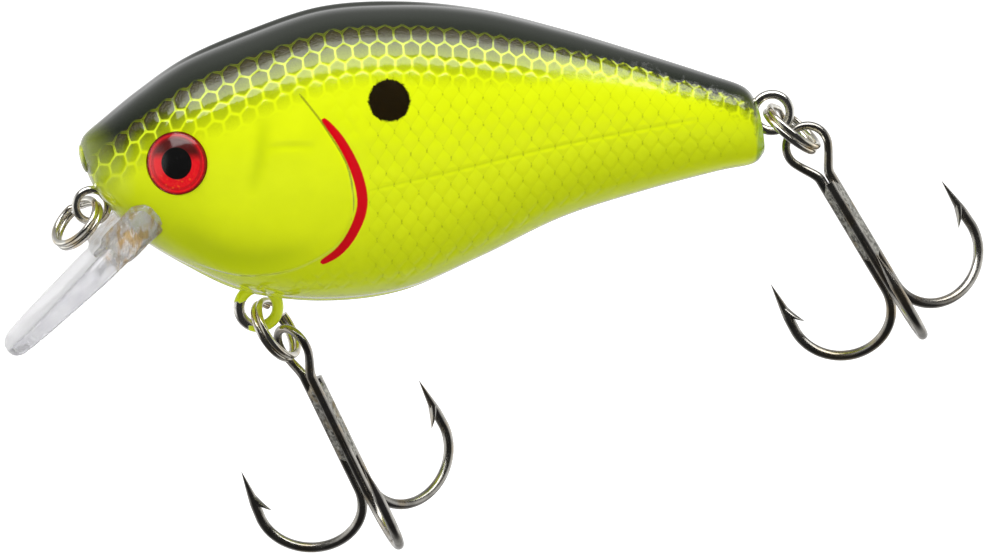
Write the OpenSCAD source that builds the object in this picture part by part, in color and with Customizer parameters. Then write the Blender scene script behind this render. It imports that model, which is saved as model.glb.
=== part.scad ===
// Crankbait lure: a hollow two-part fish body with a clear diving lip, glued-in eyes, rattle balls,
// a ballast slug, wire hangers, split rings and two treble hooks.
// Frame: origin at the centre of the line-tie eye, nose towards -X, left flank towards -Y, +Z up.

/* [Body] */
// Half the body's width at its widest station
body_half_width = 9.2; // [8.8:0.1:9.6]
// Squareness of the body's cross-section (2 is an ellipse)
section_power = 2.3; // [2:0.1:2.6]
// Wall thickness of the moulded halves
wall = 1.3; // [1.1:0.1:1.4]

/* [Eyes] */
// Diameter of an eye
eye_d = 5.4; // [5:0.1:5.6]
// Diameter of the pupil
pupil_d = 2.8; // [2:0.1:3.2]
// Height of the clear lens above the iris
lens_h = 1; // [0.7:0.1:1.3]

/* [Diving lip] */
// Thickness of the lip's blade
lip_t = 1.2; // [1:0.1:1.6]
// Widest width of the blade
lip_w = 13; // [11:0.5:15]
// Width of the blade's square tip, between its cut corners
lip_tip_w = 6.5; // [5:0.5:8]
// Angle of the blade below the horizontal
lip_angle = 46; // [45:0.5:48]

/* [Wire eyes and split rings] */
// Wire diameter of the line-tie eye
tie_wire_d = 0.7; // [0.6:0.05:0.75]
// Wire diameter of the belly hanger
belly_wire_d = 1; // [0.9:0.05:1.05]
// Wire diameter of the tail hanger
tail_wire_d = 0.8; // [0.7:0.05:0.85]
// Outer diameter of the ring on the line-tie eye
line_ring_d = 5.3; // [5:0.1:5.6]
// Outer diameter of the belly hook's ring
belly_ring_d = 6; // [5.8:0.1:6.2]
// Outer diameter of the tail hook's ring
tail_ring_d = 5.9; // [5.7:0.1:6.1]

/* [Treble hooks] */
// Diameter of the hook wire
hook_wire_d = 0.92; // [0.8:0.02:0.94]
// Diameter of the wire in the hook's eye
hook_eye_wire_d = 0.78; // [0.7:0.02:0.8]
// Radius of the hook's eye, to the middle of its wire
hook_eye_r = 1.85; // [1.8:0.05:1.9]
// Reach of each bend, from the shank's wire to the point's wire
hook_gap = 9.9; // [9:0.1:10.4]
// Height of each point above the bottom of its bend
hook_point_h = 9; // [8:0.1:10]
// Distance from the middle of the eye down to the start of the bends
hook_shank_h = 14.3; // [13:0.1:15]
// Swing of the belly treble's shank away from straight down, towards the tail
belly_hook_swing = 26; // [22:1:30]
// Swing of the tail treble's shank away from straight down, towards the tail
tail_hook_swing = 31; // [27:1:35]

/* [Balls and ballast] */
// Diameter of a rattle ball
ball_d = 3; // [2.5:0.1:3.2]
// Diameter of the ballast slug
slug_d = 6; // [5:0.1:6]

/* [Hidden] */

round_fn = 48;

// Clearance between pieces that are glued or trapped in the body
fit_gap = 0.04;

// Body stations from nose to tail: back [x, z], belly [x, z], half-width as a part of the widest
body_keys = [
    [-1.0, 5.3, -0.4, 2.9, 0.13],
    [-0.6, 6.2, 0.1, 1.8, 0.25],
    [0.9, 7.5, 1.0, 0.5, 0.39],
    [4.0, 10.0, 3.6, -2.4, 0.60],
    [8.1, 12.8, 8.0, -5.2, 0.80],
    [13.4, 15.1, 13.2, -7.6, 0.95],
    [20.0, 17.2, 20.0, -8.5, 1.00],
    [27.0, 17.6, 27.0, -7.7, 0.97],
    [34.0, 16.85, 34.0, -4.7, 0.86],
    [41.0, 15.1, 41.0, -1.4, 0.70],
    [48.0, 12.95, 48.0, 0.8, 0.53],
    [54.0, 11.0, 54.6, 2.5, 0.39],
    [57.0, 9.9, 57.8, 3.15, 0.32],
    [58.1, 8.6, 58.8, 4.15, 0.23]
];
span_steps = 3;
half_sides = 14;
// Inner stations leave this many body stations solid at the nose and at the tail
solid_nose = 6;
solid_tail = 4;
// How far the cavity's solid reaches past the parting plane
cavity_over = 1;

// Line tie: mid-plane eye at the origin, and its second eye, trapped in the chin
tie_r = 1.4;
tie_anchor = [2.12, 1.75];
// Belly hanger: its eye below the throat and its trapped eye
belly_eye_r = 1.7;
belly_eye = [14.5, -9];
belly_anchor = [14.8, -5.75];
// Tail hanger: its eye behind the tail and its trapped eye
tail_eye_r = 1.6;
tail_eye = [59.5, 7.6];
tail_anchor = [56.4, 7.5];

// Split rings: half-thickness of the wire across and along the ring's axis, and the coils' gap
ring_wire_across = 0.29;
ring_wire_along = 0.265;
coil_gap = 0.03;
// Half the arc over which the wire steps from one coil to the other, and where its ends are turned to
coil_step_deg = 15;
ring_end_turn = 65;
// Each ring: how far it leans from straight down towards the tail, how far it is turned open, and
// where its near wire lies in the wire eye that holds it
line_ring_lean = -42;
line_ring_open = -22;
line_ring_seat = [0.30, 0.24];
belly_ring_lean = 34;
belly_ring_open = 25;
belly_ring_seat = [0, 0.28];
tail_ring_lean = 52;
tail_ring_open = 12;
tail_ring_seat = [-0.34, 0.2];

// Treble hooks: each wire's distance from the shank's axis, and how far below the middle of the eye
// the wires come together
shank_offset = hook_wire_d / 2 / sin(60) + 0.04;
merge_h = 2.9;
// Straight length of the brazed wires, the braze metal's cut-back at its top and its rim
braze_h = 8.8;
braze_top_cut = 0.9;
braze_rim = 0.1;
braze_gap = 0.005;
bend_depth = 4.2;
point_lean = 0.3;
barb_h = 0.42;
// Single hook's blunt end above the merge
stub_h = 0.7;
wire_sides = 8;
bend_steps = 16;
// The point from its root to its tip: part of its length, part of its thickness, barb's height
spear = [[0.12, 1, 0], [0.2, 0.95, 0], [0.24, 0.9, 1], [0.30, 0.88, 0.24], [0.36, 0.84, 0],
    [0.6, 0.62, 0], [0.85, 0.28, 0], [1, 0.04, 0]];
belly_hook_eye = [17.75, 0.25, -12.4];
belly_hook_recede = 9;
belly_hook_turn = 212;
tail_hook_eye = [62.65, 0.05, 4.55];
tail_hook_recede = 0.5;
tail_hook_turn = 88;

// Eyes: centre of the lens's base, and the way it faces
eye_x = 6.85;
eye_z = 4.2;
eye_y = 6.75;
eye_forward = 24;
iris_t = 0.9;
pupil_t = 0.4;

// Rattle tubes and ballast cup, by the [x, z] of their axes, and half the length of each bore
tube_wall = 0.8;
cup_wall = 0.85;
cup_floor = 1;
ball_play = 0.25;
tube_x = [30.5, 36.5, 42.5];
tube_z = [5.6, 6.2, 6.8];
tube_half = [7.0, 6.2, 4.9];
slug_pos = [22, -2.8];
slug_half = 5;

// Moulded pins that line the halves up, by the [x, z] of their axes
pin_pos = [[14, 10.5], [28, 13.2], [49.5, 6.8]];
pin_r = 0.8;
pin_h = 1.2;
boss_r = 1.7;
// Rim of the bosses round the trapped wire eyes
boss_rim = 0.6;

// ---- Body surface ----

function mix(a, b, t) = a * (1 - t) + b * t;

// Point on the smooth curve through the list k, at t of the way from item i to the next one
function along(k, i, t) =
    let (
        n = len(k) - 1,
        p0 = k[max(i - 1, 0)],
        p1 = k[i],
        p2 = k[min(i + 1, n)],
        p3 = k[min(i + 2, n)]
    )
    0.5 * (2 * p1 + (p2 - p0) * t + (2 * p0 - 5 * p1 + 4 * p2 - p3) * t * t
        + (3 * p1 - p0 - 3 * p2 + p3) * t * t * t);

spans = len(body_keys) - 1;
stations = [for (i = [0 : spans * span_steps])
    along(body_keys, min(floor(i / span_steps), spans - 1),
        i / span_steps - min(floor(i / span_steps), spans - 1))];

function power(v, e) = sign(v) * pow(abs(v), e);

// Half a section on the left side, from the back to the belly, set in by `inset`, whose two ends
// reach `over` past the parting plane
function half_section(s, inset, over) =
    let (
        top = [s[0], 0, s[1]],
        low = [s[2], 0, s[3]],
        mid = (top + low) / 2,
        up = (top - low) / norm(top - low),
        h = norm(top - low) / 2 - inset,
        w = s[4] * body_half_width - inset,
        e = 2 / section_power
    )
    [for (j = [0 : half_sides])
        let (a = 180 * j / half_sides)
        mid + up * h * power(cos(a), e)
            + [0, j == 0 || j == half_sides ? over : -w * power(sin(a), e), 0]];

// Closed solid between the section list and the flat through its first and last points
module half_loft(rings) {
    n = len(rings);
    m = len(rings[0]);
    pts = [for (r = rings) each r];
    skin = [for (i = [0 : n - 2]) for (j = [0 : m - 2])
        each [[i * m + j, (i + 1) * m + j, i * m + j + 1],
            [i * m + j + 1, (i + 1) * m + j, (i + 1) * m + j + 1]]];
    flat_side = [for (i = [0 : n - 2])
        each [[i * m, (i + 1) * m + m - 1, (i + 1) * m],
            [i * m, i * m + m - 1, (i + 1) * m + m - 1]]];
    first_cap = [for (j = [1 : m - 2]) [0, j, j + 1]];
    last_cap = [for (j = [1 : m - 2]) [(n - 1) * m, (n - 1) * m + j + 1, (n - 1) * m + j]];
    polyhedron(points = pts, faces = concat(skin, flat_side, first_cap, last_cap), convexity = 6);
}

module half_outside() {
    half_loft([for (s = stations) half_section(s, 0, 0)]);
}

// The outside of the half, set in so that nothing built on the inside breaks the surface
module half_limit() {
    half_loft([for (i = [2 : len(stations) - 2]) half_section(stations[i], wall / 2, 0)]);
}

module half_inside() {
    half_loft([for (i = [solid_nose : len(stations) - 1 - solid_tail])
        half_section(stations[i], wall, cavity_over)]);
}

// Bar along Y at [x, z] = p, from y0 to y1
module bar_y(p, r, y0, y1, fn = round_fn) {
    translate([p[0], y0, p[1]])
        rotate([-90, 0, 0])
            cylinder(r = r, h = y1 - y0, $fn = fn);
}

// ---- Wire eyes ----

module torus_y(p, r, wire_r) {
    translate([p[0], 0, p[1]])
        rotate([90, 0, 0])
            rotate_extrude($fn = round_fn)
                translate([r, 0])
                    circle(r = wire_r, $fn = 32);
}

// Two eyes of one wire, crossed between them
module wire_eight(eye, anchor, r, wire_d) {
    torus_y(eye, r, wire_d / 2);
    torus_y(anchor, r, wire_d / 2);
}

// Room for such a wire in the body halves, round a post that fills its trapped eye
module wire_room(eye, anchor, r, wire_d) {
    outer = r + wire_d / 2 + fit_gap;
    half = wire_d / 2 + fit_gap;
    difference() {
        bar_y(anchor, outer, -half, half);
        bar_y(anchor, r - wire_d / 2 - fit_gap, -2 * half, 2 * half);
    }
    bar_y(eye, outer, -half, half);
}

// Boss round a trapped eye, on the left side, from y = -reach to the parting plane
module anchor_boss(anchor, r, wire_d, reach) {
    bar_y(anchor, r + wire_d / 2 + boss_rim, -reach, 0);
}

// ---- Swept wires ----

// One ring of points: centre c, across vector u, along vector v, and their half-thicknesses
function wire_ring(c, u, v, ru, rv, barb) =
    [for (j = [0 : wire_sides - 1])
        let (
            a = 360 * j / wire_sides,
            grow = j == wire_sides / 2 ? barb : 0
        )
        c + u * cos(a) * (ru + grow) + v * sin(a) * rv];

module swept(rings) {
    n = len(rings);
    m = len(rings[0]);
    pts = [for (r = rings) each r];
    skin = [for (i = [0 : n - 2]) for (j = [0 : m - 1])
        let (k = (j + 1) % m)
        each [[i * m + j, i * m + k, (i + 1) * m + j],
            [i * m + k, (i + 1) * m + k, (i + 1) * m + j]]];
    first_cap = [for (j = [1 : m - 2]) [0, j + 1, j]];
    last_cap = [for (j = [1 : m - 2]) [(n - 1) * m, (n - 1) * m + j, (n - 1) * m + j + 1]];
    polyhedron(points = pts, faces = concat(skin, first_cap, last_cap), convexity = 8);
}

function flip(k) = [for (i = [len(k) - 1 : -1 : 0]) k[i]];

// ---- Split rings ----

coil_pitch = 2 * ring_wire_along + coil_gap;

// Height of the wire in its two-coil pack, at angle a along the wire
function coil_height(a) =
    let (t = max(0, min(1, (a - 360 + coil_step_deg) / (2 * coil_step_deg))))
    coil_pitch * (t * t * (3 - 2 * t) - 0.5);

module split_ring(outer_d) {
    r = outer_d / 2 - ring_wire_across;
    turn = [for (a = [coil_step_deg + 1 : 10 : 360 - coil_step_deg]) a];
    cross_over = [for (a = [360 - coil_step_deg : 6 : 360 + coil_step_deg]) a];
    angles = concat(turn, cross_over, [for (a = flip(turn)) 720 - a]);
    swept([for (a = angles)
        wire_ring([r * cos(a), r * sin(a), coil_height(a)], [cos(a), sin(a), 0], [0, 0, 1],
            ring_wire_across, ring_wire_along, 0)]);
}

// Centre of a ring whose near wire lies at `seat` in the wire eye at `eye`
function ring_centre(eye, seat, lean, d) =
    [eye[0] + seat[0] + sin(lean) * (d / 2 - ring_wire_across), 0,
        eye[1] + seat[1] - cos(lean) * (d / 2 - ring_wire_across)];

module hung_ring(eye, seat, lean, open, d) {
    translate(ring_centre(eye, seat, lean, d))
        rotate([0, -90 - lean, 0])
            rotate([-open, 0, 0])
                rotate([0, 0, ring_end_turn])
                    split_ring(d);
}

// ---- Treble hooks, in their own frame: middle of the eye at the origin, shank down -Z ----

// Hook in its radial plane, from the shank to the point: [radius, height], [its direction],
// wire radius, barb
hook_low = -hook_shank_h;
point_x = shank_offset + hook_gap;
point_top = hook_low - bend_depth + hook_point_h;
point_len = point_top - hook_low;

function hook_bend() = [for (i = [0 : bend_steps])
    let (
        a = 180 + 180 * i / bend_steps,
        d = [-hook_gap / 2 * sin(a), bend_depth * cos(a)]
    )
    [[shank_offset + hook_gap / 2 * (1 + cos(a)), hook_low + bend_depth * sin(a)],
        d / norm(d), hook_wire_d / 2, 0]];

function hook_spear() = [for (s = spear)
    let (d = [-point_lean, point_len])
    [[point_x - point_lean * s[0], hook_low + point_len * s[0]],
        d / norm(d), hook_wire_d / 2 * s[1], barb_h * s[2]]];

function hook_curve() = concat(
    [[[shank_offset, -merge_h - stub_h], [0, -1], hook_wire_d / 2, 0],
        [[shank_offset, -merge_h - braze_h], [0, -1], hook_wire_d / 2, 0]],
    hook_bend(), hook_spear());

// Rings of a hook at azimuth phi, from its shank out to its point
function hook_out(phi) =
    [for (s = hook_curve())
        let (
            e = [cos(phi), sin(phi), 0],
            b = [sin(phi), -cos(phi), 0],
            t = e * s[1][0] + [0, 0, s[1][1]]
        )
        wire_ring(e * s[0][0] + [0, 0, s[0][1]], cross(t, b), b, s[2], s[2], s[3])];

// The same rings walked from the point back to the shank
function hook_in(phi) =
    [for (s = flip(hook_curve()))
        let (
            e = [cos(phi), sin(phi), 0],
            b = [-sin(phi), cos(phi), 0],
            t = -e * s[1][0] - [0, 0, s[1][1]]
        )
        wire_ring(e * s[0][0] + [0, 0, s[0][1]], cross(t, b), b, s[2], s[2], s[3])];

// Hook eye in the plane of its two wires: a round top that draws in to the shank below eye_join_deg,
// with the pulls that shape the neck at its foot and at its top
eye_join_deg = -14;
neck_pull = [0.9, 1.1];
neck_y = shank_offset * sin(60);
neck_top = hook_eye_r * [cos(eye_join_deg), sin(eye_join_deg)];
neck_low = [neck_y, -merge_h - 0.2];

function bezier(p, t) = pow(1 - t, 3) * p[0] + 3 * t * pow(1 - t, 2) * p[1]
    + 3 * t * t * (1 - t) * p[2] + t * t * t * p[3];
function bezier_way(p, t) = pow(1 - t, 2) * (p[1] - p[0]) + 2 * t * (1 - t) * (p[2] - p[1])
    + t * t * (p[3] - p[2]);

neck_curve = [neck_low, neck_low + [0, neck_pull[0]],
    neck_top + [sin(eye_join_deg), -cos(eye_join_deg)] * neck_pull[1], neck_top];

// Eye path on the +Y side, from the shank to the top: [y, z], [direction], wire radius
eye_path = concat(
    [for (t = [0 : 0.2 : 0.8])
        let (d = bezier_way(neck_curve, t))
        [bezier(neck_curve, t), d / norm(d), mix(hook_wire_d, hook_eye_wire_d, t) / 2]],
    [for (a = [eye_join_deg : 13 : 90])
        [hook_eye_r * [cos(a), sin(a)], [-sin(a), cos(a)], hook_eye_wire_d / 2]]);

function eye_ring(s, side) =
    let (
        t = [0, side * s[1][0], s[1][1]] * side,
        b = [-1, 0, 0]
    )
    wire_ring([shank_offset * cos(60), side * s[0][0], s[0][1]], cross(t, b), b, s[2], s[2], 0);

module hook_double() {
    swept(concat(hook_in(60), [for (s = eye_path) eye_ring(s, 1)],
        [for (s = flip(eye_path)) eye_ring(s, -1)], hook_out(-60)));
}

module hook_single() {
    swept(hook_out(180));
}

// Braze metal between and around the three shanks
module hook_braze() {
    difference() {
        translate([0, 0, -merge_h - braze_h])
            cylinder(r = shank_offset + braze_rim, h = braze_h - braze_top_cut, $fn = round_fn);
        for (phi = [60, 180, 300])
            rotate([0, 0, phi])
                translate([shank_offset, 0, -merge_h - braze_h - 1])
                    cylinder(r = hook_wire_d / 2 + braze_gap, h = braze_h + 2, $fn = round_fn);
    }
}

module hung_hook(eye, swing, recede, turn) {
    translate(eye)
        rotate([0, -swing, 0])
            rotate([recede, 0, 0])
                rotate([0, 0, turn])
                    children();
}

module belly_treble() {
    hung_hook(belly_hook_eye, belly_hook_swing, belly_hook_recede, belly_hook_turn)
        children();
}

module tail_treble() {
    hung_hook(tail_hook_eye, tail_hook_swing, tail_hook_recede, tail_hook_turn)
        children();
}

// ---- Diving lip, laid flat with its tip at the origin, running up +X ----

lip_tip = [-7.35, -12.6];
lip_len = 13.4;
// Lengths of the cut corners at the tip and of the shoulders at the root
lip_corner = 5;
lip_shoulder = 3;
root_len = 5.6;
root_w = 8.6;
root_t = 2.6;
root_lap = 0.4;
rib_t = 1.2;

module lip_place() {
    translate([lip_tip[0], 0, lip_tip[1]])
        rotate([0, -lip_angle, 0])
            children();
}

module lip_outline() {
    polygon([[0, -lip_tip_w / 2], [lip_corner, -lip_w / 2], [lip_len - lip_shoulder, -lip_w / 2],
        [lip_len, -root_w / 2], [lip_len, root_w / 2], [lip_len - lip_shoulder, lip_w / 2],
        [lip_corner, lip_w / 2], [0, lip_tip_w / 2]]);
}

// Blade with a flat top, whose underside falls away evenly towards the root
module lip_blade() {
    intersection() {
        linear_extrude(height = 4 * root_t, center = true)
            lip_outline();
        rotate([90, 0, 0])
            linear_extrude(height = lip_w + 2, center = true)
                polygon([[-1, lip_t / 2], [lip_len + 1, lip_t / 2],
                    [lip_len + 1, -lip_t / 2 - rib_t], [-1, -lip_t / 2]]);
    }
}

// Root block that the body halves close round
module lip_root(grow) {
    translate([lip_len - root_lap - grow, -root_w / 2 - grow, -root_t / 2 - grow])
        cube([root_len + 2 * grow, root_w + 2 * grow, root_t + 2 * grow]);
}

// ---- Eyes ----

// Left eye's frame: its face looks along +Z
module eye_place() {
    translate([eye_x, -eye_y, eye_z])
        rotate([0, 0, -eye_forward])
            rotate([90, 0, 0])
                children();
}

module eye_iris() {
    difference() {
        translate([0, 0, -iris_t])
            cylinder(d = eye_d, h = iris_t, $fn = round_fn);
        translate([0, 0, -pupil_t])
            cylinder(d = pupil_d + 2 * fit_gap, h = pupil_t + 1, $fn = round_fn);
    }
}

module eye_pupil() {
    translate([0, 0, -pupil_t + 0.01])
        cylinder(d = pupil_d, h = pupil_t - 0.02, $fn = round_fn);
}

module eye_lens() {
    dome_r = (eye_d * eye_d / 4 + lens_h * lens_h) / (2 * lens_h);
    intersection() {
        translate([0, 0, lens_h - dome_r])
            sphere(r = dome_r, $fn = round_fn);
        translate([0, 0, 0.01])
            cylinder(d = eye_d + 1, h = lens_h + 1, $fn = round_fn);
    }
}

// ---- Body halves ----

// Everything that stands inside the left half: eye cup, bosses, rattle tubes and ballast cup
module half_fittings() {
    reach = body_half_width;
    eye_place()
        translate([0, 0, -iris_t - cup_floor])
            cylinder(d = eye_d + 2 * cup_wall, h = iris_t + cup_floor, $fn = round_fn);
    anchor_boss(tie_anchor, tie_r, tie_wire_d, reach);
    anchor_boss(belly_anchor, belly_eye_r, belly_wire_d, reach);
    anchor_boss(tail_anchor, tail_eye_r, tail_wire_d, reach);
    for (i = [0 : len(tube_x) - 1])
        bar_y([tube_x[i], tube_z[i]], ball_d / 2 + ball_play + tube_wall, -reach, 0);
    bar_y(slug_pos, slug_d / 2 + cup_wall, -slug_half - cup_floor, 0);
    for (p = pin_pos)
        bar_y(p, boss_r, -reach, 0);
}

// Left half without its pins or pin holes
module half_body() {
    difference() {
        union() {
            difference() {
                half_outside();
                half_inside();
            }
            intersection() {
                half_limit();
                half_fittings();
            }
        }
        for (i = [0 : len(tube_x) - 1])
            bar_y([tube_x[i], tube_z[i]], ball_d / 2 + ball_play, -tube_half[i], 1);
        bar_y(slug_pos, slug_d / 2 + fit_gap, -slug_half - fit_gap, 1);
        eye_place()
            translate([0, 0, -iris_t - fit_gap])
                cylinder(d = eye_d + 2 * fit_gap, h = 4, $fn = round_fn);
        lip_place()
            lip_root(fit_gap);
        wire_room([0, 0], tie_anchor, tie_r, tie_wire_d);
        wire_room(belly_eye, belly_anchor, belly_eye_r, belly_wire_d);
        wire_room(tail_eye, tail_anchor, tail_eye_r, tail_wire_d);
    }
}

module shell_left() {
    color([0.84, 0.91, 0.1])
        union() {
            half_body();
            for (p = pin_pos)
                bar_y(p, pin_r, -0.5, pin_h);
        }
}

module shell_right() {
    color([0.80, 0.88, 0.1])
        mirror([0, 1, 0])
            difference() {
                half_body();
                for (p = pin_pos)
                    bar_y(p, pin_r + fit_gap, -pin_h - 0.2, 1);
            }
}

// ---- Other pieces ----

module diving_lip() {
    color([0.86, 0.87, 0.92, 0.6])
        lip_place() {
            lip_blade();
            lip_root(0);
        }
}

module line_tie_eye() {
    color([0.75, 0.75, 0.72])
        wire_eight([0, 0], tie_anchor, tie_r, tie_wire_d);
}

module belly_hanger() {
    color([0.72, 0.80, 0.1])
        wire_eight(belly_eye, belly_anchor, belly_eye_r, belly_wire_d);
}

module tail_hanger() {
    color([0.75, 0.75, 0.72])
        wire_eight(tail_eye, tail_anchor, tail_eye_r, tail_wire_d);
}

module line_split_ring() {
    color([0.8, 0.8, 0.78])
        hung_ring([0, 0], line_ring_seat, line_ring_lean, line_ring_open, line_ring_d);
}

module belly_split_ring() {
    color([0.8, 0.8, 0.74])
        hung_ring(belly_eye, belly_ring_seat, belly_ring_lean, belly_ring_open, belly_ring_d);
}

module tail_split_ring() {
    color([0.8, 0.8, 0.74])
        hung_ring(tail_eye, tail_ring_seat, tail_ring_lean, tail_ring_open, tail_ring_d);
}

module belly_hook_double() {
    color([0.35, 0.35, 0.33])
        belly_treble()
            hook_double();
}

module belly_hook_single() {
    color([0.35, 0.35, 0.33])
        belly_treble()
            hook_single();
}

module belly_hook_braze() {
    color([0.5, 0.48, 0.42])
        belly_treble()
            hook_braze();
}

module tail_hook_double() {
    color([0.35, 0.35, 0.33])
        tail_treble()
            hook_double();
}

module tail_hook_single() {
    color([0.35, 0.35, 0.33])
        tail_treble()
            hook_single();
}

module tail_hook_braze() {
    color([0.5, 0.48, 0.42])
        tail_treble()
            hook_braze();
}

module eye_iris_left() {
    color([0.85, 0.03, 0.06])
        eye_place()
            eye_iris();
}

module eye_pupil_left() {
    color([0.03, 0.03, 0.03])
        eye_place()
            eye_pupil();
}

module eye_lens_left() {
    color([0.95, 0.95, 0.97, 0.3])
        eye_place()
            eye_lens();
}

module eye_iris_right() {
    color([0.85, 0.03, 0.06])
        mirror([0, 1, 0])
            eye_place()
                eye_iris();
}

module eye_pupil_right() {
    color([0.03, 0.03, 0.03])
        mirror([0, 1, 0])
            eye_place()
                eye_pupil();
}

module eye_lens_right() {
    color([0.95, 0.95, 0.97, 0.3])
        mirror([0, 1, 0])
            eye_place()
                eye_lens();
}

module ballast_slug() {
    color([0.55, 0.55, 0.57])
        bar_y(slug_pos, slug_d / 2, -slug_half, slug_half);
}

module rattle_ball(i) {
    color([0.75, 0.75, 0.78])
        translate([tube_x[i], 0, tube_z[i]])
            sphere(d = ball_d, $fn = round_fn);
}

module rattle_ball_front() {
    rattle_ball(0);
}

module rattle_ball_middle() {
    rattle_ball(1);
}

module rattle_ball_rear() {
    rattle_ball(2);
}

shell_left();
shell_right();
diving_lip();
line_tie_eye();
belly_hanger();
tail_hanger();
line_split_ring();
belly_split_ring();
tail_split_ring();
belly_hook_double();
belly_hook_single();
belly_hook_braze();
tail_hook_double();
tail_hook_single();
tail_hook_braze();
eye_iris_left();
eye_pupil_left();
eye_lens_left();
eye_iris_right();
eye_pupil_right();
eye_lens_right();
ballast_slug();
rattle_ball_front();
rattle_ball_middle();
rattle_ball_rear();
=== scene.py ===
import math

import bmesh
import bpy
import numpy as np
from mathutils import Matrix, Vector


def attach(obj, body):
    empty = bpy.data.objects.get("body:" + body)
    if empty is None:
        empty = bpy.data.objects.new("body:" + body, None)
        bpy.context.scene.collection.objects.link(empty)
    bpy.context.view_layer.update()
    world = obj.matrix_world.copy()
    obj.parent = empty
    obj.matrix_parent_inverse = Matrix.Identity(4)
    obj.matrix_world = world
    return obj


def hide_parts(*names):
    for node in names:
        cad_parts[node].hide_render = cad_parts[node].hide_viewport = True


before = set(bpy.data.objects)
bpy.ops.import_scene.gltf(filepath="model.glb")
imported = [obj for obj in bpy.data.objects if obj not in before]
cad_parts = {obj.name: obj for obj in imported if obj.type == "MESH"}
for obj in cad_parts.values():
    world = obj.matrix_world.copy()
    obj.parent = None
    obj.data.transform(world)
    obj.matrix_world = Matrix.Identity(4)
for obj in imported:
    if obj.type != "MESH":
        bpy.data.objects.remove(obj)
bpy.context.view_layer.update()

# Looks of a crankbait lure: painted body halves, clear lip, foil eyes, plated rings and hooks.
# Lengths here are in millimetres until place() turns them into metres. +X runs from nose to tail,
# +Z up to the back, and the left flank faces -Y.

MM = 0.001
rng = np.random.default_rng(7)


# ---- Meshes ----

def smoothstep(x, low, high):
    t = np.clip((x - low) / (high - low), 0, 1)
    return t * t * (3 - 2 * t)


def rotation(axis, degrees):
    return np.array(Matrix.Rotation(math.radians(degrees), 3, axis))


def place(name, points, faces, material, sharp_deg=40):
    """A mesh object from points in millimetres, smooth but for edges sharper than sharp_deg."""
    mesh = bpy.data.meshes.new(name)
    mesh.from_pydata((np.asarray(points) * MM).tolist(), [], faces)
    piece = bpy.data.objects.new(name, mesh)
    bpy.context.scene.collection.objects.link(piece)
    mesh.materials.append(material)
    finish_mesh(mesh, sharp_deg)
    return piece


def finish_mesh(mesh, sharp_deg):
    """Turns faces outwards and marks the sharp edges."""
    work = bmesh.new()
    work.from_mesh(mesh)
    bmesh.ops.recalc_face_normals(work, faces=work.faces)
    limit = math.radians(sharp_deg)
    for face in work.faces:
        face.smooth = True
    for edge in work.edges:
        edge.smooth = len(edge.link_faces) != 2 or edge.calc_face_angle() < limit
    work.to_mesh(mesh)
    work.free()
    mesh.update()


def stands_for(piece, body, slot, *nodes):
    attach(piece, body)
    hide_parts(*nodes)
    return piece


def join_meshes(parts):
    """One list of points and one of faces from several."""
    points, faces, count = [], [], 0
    for part_points, part_faces in parts:
        points.append(np.asarray(part_points, float))
        faces += [tuple(i + count for i in face) for face in part_faces]
        count += len(part_points)
    return np.vstack(points), faces


def tube(rings):
    """Closed tube through rings that all have the same number of points."""
    rings = np.asarray(rings, float)
    n, m = rings.shape[:2]
    faces = [(i * m + j, i * m + (j + 1) % m, (i + 1) * m + (j + 1) % m, (i + 1) * m + j)
             for i in range(n - 1) for j in range(m)]
    faces += [tuple(range(m - 1, -1, -1)), tuple(range((n - 1) * m, n * m))]
    return rings.reshape(-1, 3), faces


def revolve(profile, sides=96):
    """Solid of revolution about local Z from (radius, height) points, from the axis to the axis."""
    inner = profile[1:-1]
    turn = np.linspace(0, 2 * math.pi, sides, endpoint=False)
    points = [[r * math.cos(a), r * math.sin(a), z] for r, z in inner for a in turn]
    points += [[0, 0, profile[0][1]], [0, 0, profile[-1][1]]]
    first, last = len(points) - 2, len(points) - 1
    faces = [(i * sides + j, i * sides + (j + 1) % sides,
              (i + 1) * sides + (j + 1) % sides, (i + 1) * sides + j)
             for i in range(len(inner) - 1) for j in range(sides)]
    faces += [(first, (j + 1) % sides, j) for j in range(sides)]
    base = (len(inner) - 1) * sides
    faces += [(last, base + j, base + (j + 1) % sides) for j in range(sides)]
    return np.array(points), faces


# ---- Node expressions ----

class Value:
    """A number in a node tree. Each operation on it adds a Math node."""

    def __init__(self, tree, socket):
        self.tree = tree
        self.socket = socket

    def math(self, operation, *others, swap=False):
        node = self.tree.nodes.new("ShaderNodeMath")
        node.operation = operation
        inputs = [self, *others]
        if swap:
            inputs.reverse()
        for i, item in enumerate(inputs):
            if isinstance(item, Value):
                self.tree.links.new(item.socket, node.inputs[i])
            else:
                node.inputs[i].default_value = item
        return Value(self.tree, node.outputs[0])

    def __add__(self, other):
        return self.math("ADD", other)

    def __sub__(self, other):
        return self.math("SUBTRACT", other)

    def __rsub__(self, other):
        return self.math("SUBTRACT", other, swap=True)

    def __mul__(self, other):
        return self.math("MULTIPLY", other)

    def __truediv__(self, other):
        return self.math("DIVIDE", other)

    __radd__ = __add__
    __rmul__ = __mul__

    def abs(self):
        return self.math("ABSOLUTE")

    def wrap(self, size):
        """Distance from the nearest multiple of size, with its sign."""
        return self.math("WRAP", size / 2, -size / 2)

    def step(self, low, high):
        """0 at low, 1 at high, smooth between; low may be the larger one."""
        node = self.tree.nodes.new("ShaderNodeMapRange")
        node.interpolation_type = "SMOOTHSTEP"
        self.tree.links.new(self.socket, node.inputs["Value"])
        node.inputs["From Min"].default_value = min(low, high)
        node.inputs["From Max"].default_value = max(low, high)
        node.inputs["To Min"].default_value = float(low > high)
        node.inputs["To Max"].default_value = float(low < high)
        return Value(self.tree, node.outputs["Result"])


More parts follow.
